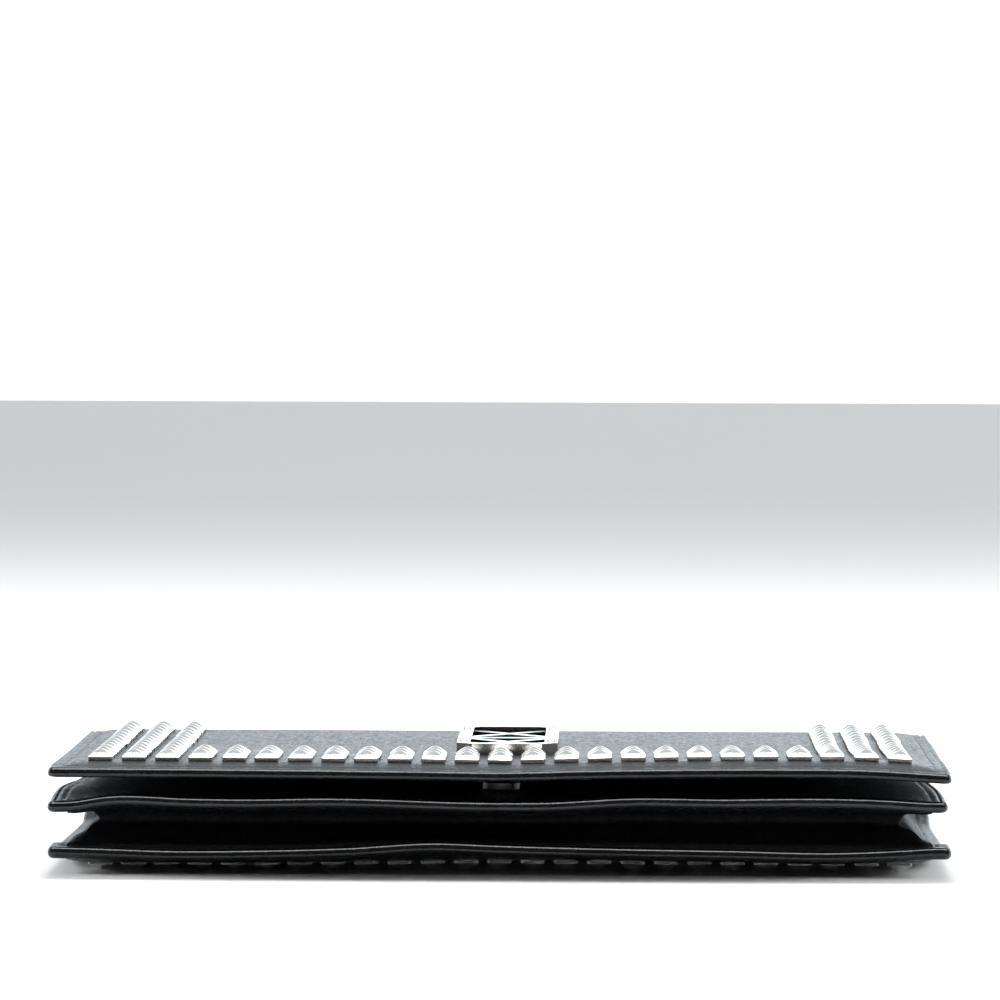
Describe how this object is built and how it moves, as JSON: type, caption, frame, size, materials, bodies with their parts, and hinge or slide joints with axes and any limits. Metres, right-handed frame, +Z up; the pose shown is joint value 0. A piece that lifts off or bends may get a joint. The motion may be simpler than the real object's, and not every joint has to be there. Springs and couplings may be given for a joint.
{
  "type": "wallet",
  "caption": "Black studded leather flap wallet with accordion body, zip pocket, press stud, openwork metal ornament and rings for a shoulder chain.",
  "frame": {"origin": "centre of the box, at the height of the surface that the back studs rest on", "axes": "+Z up from the back panel to the flap, +Y towards the fold, X along the fold"},
  "size_m": [0.225, 0.14, 0.031],
  "materials": {
    "black_leather": "fine grain, semi-gloss, glossy turned edges",
    "black_lining": "smooth matte",
    "stiffener_board": "matte",
    "foam": "soft matte felt",
    "silver_metal": "polished nickel",
    "zip_metal": "polished nickel",
    "zip_tape": "woven tape"
  },
  "bodies": {
    "back": {"back_leather": "black_leather", "back_padding": "foam", "back_board": "stiffener_board", "back_lining": "black_lining", "spine_leather": "black_leather", "spine_lining": "black_lining", "studs_back_corners": "silver_metal", "studs_back_left": "silver_metal", "studs_back_right": "silver_metal", "studs_back_front": "silver_metal", "gusset_left": "black_leather", "gusset_right": "black_leather", "gusset_front": "black_leather", "card_pocket_1": "black_lining", "card_pocket_2": "black_lining", "card_pocket_3": "black_lining", "card_pocket_4": "black_lining", "ring_tab_left": "black_leather", "ring_tab_right": "black_leather"},
    "front": {"front_leather": "black_leather", "front_board": "stiffener_board", "front_lining": "black_lining", "snap_stud": "silver_metal", "snap_post": "silver_metal"},
    "flap": {"flap_leather": "black_leather", "flap_padding": "foam", "flap_board": "stiffener_board", "flap_lining": "black_lining", "snap_socket": "silver_metal", "snap_cap": "silver_metal", "studs_flap_corners": "silver_metal", "studs_flap_left": "silver_metal", "studs_flap_right": "silver_metal", "studs_flap_front": "silver_metal", "ornament_frame": "silver_metal", "ornament_lattice": "silver_metal", "ornament_rivets": "silver_metal", "ornament_washers": "silver_metal"},
    "divider": {"zip_pocket_lower": "black_lining", "zip_pocket_upper": "black_lining", "zip_tape_lower": "zip_tape", "zip_tape_upper": "zip_tape", "zip_teeth_lower": "zip_metal", "zip_teeth_upper": "zip_metal", "zip_stops": "zip_metal"},
    "slider": {"zip_slider": "zip_metal"},
    "pull": {"zip_pull": "zip_metal"},
    "ring_left": {"chain_ring_left": "silver_metal"},
    "ring_right": {"chain_ring_right": "silver_metal"}
  },
  "joints": [
    {"name": "flap_hinge", "type": "hinge", "parent": "back", "child": "flap", "pos_m": [0, 0.073, 0.01507], "axis": [-1, 0, 0], "range_deg": [0, 180], "deforming": ["spine_leather", "spine_lining"]},
    {"name": "front_fold", "type": "hinge", "parent": "back", "child": "front", "pos_m": [0, -0.064, 0.0118], "axis": [1, 0, 0], "range_deg": [0, 8], "deforming": ["gusset_left", "gusset_right", "gusset_front"]},
    {"name": "divider_fold", "type": "hinge", "parent": "back", "child": "divider", "pos_m": [0, -0.057, 0.0103], "axis": [1, 0, 0], "range_deg": [0, 4]},
    {"name": "zip_slide", "type": "slide", "parent": "divider", "child": "slider", "axis": [1, 0, 0], "range_m": [0, 0.152]},
    {"name": "pull_swing", "type": "hinge", "parent": "slider", "child": "pull", "pos_m": [-0.076, 0.058, 0.0103], "axis": [0, 0, 1], "range_deg": [0, 180]},
    {"name": "ring_left_swing", "type": "hinge", "parent": "back", "child": "ring_left", "pos_m": [-0.1, 0.062, 0.0095], "axis": [0, -1, 0], "range_deg": [0, 100]},
    {"name": "ring_right_swing", "type": "hinge", "parent": "back", "child": "ring_right", "pos_m": [0.1, 0.062, 0.0095], "axis": [0, 1, 0], "range_deg": [0, 100]}
  ],
  "couplings": [
    {"joint": "front_fold", "follows": "flap_hinge", "ratio": 0.0444},
    {"joint": "divider_fold", "follows": "flap_hinge", "ratio": 0.0222}
  ]
}
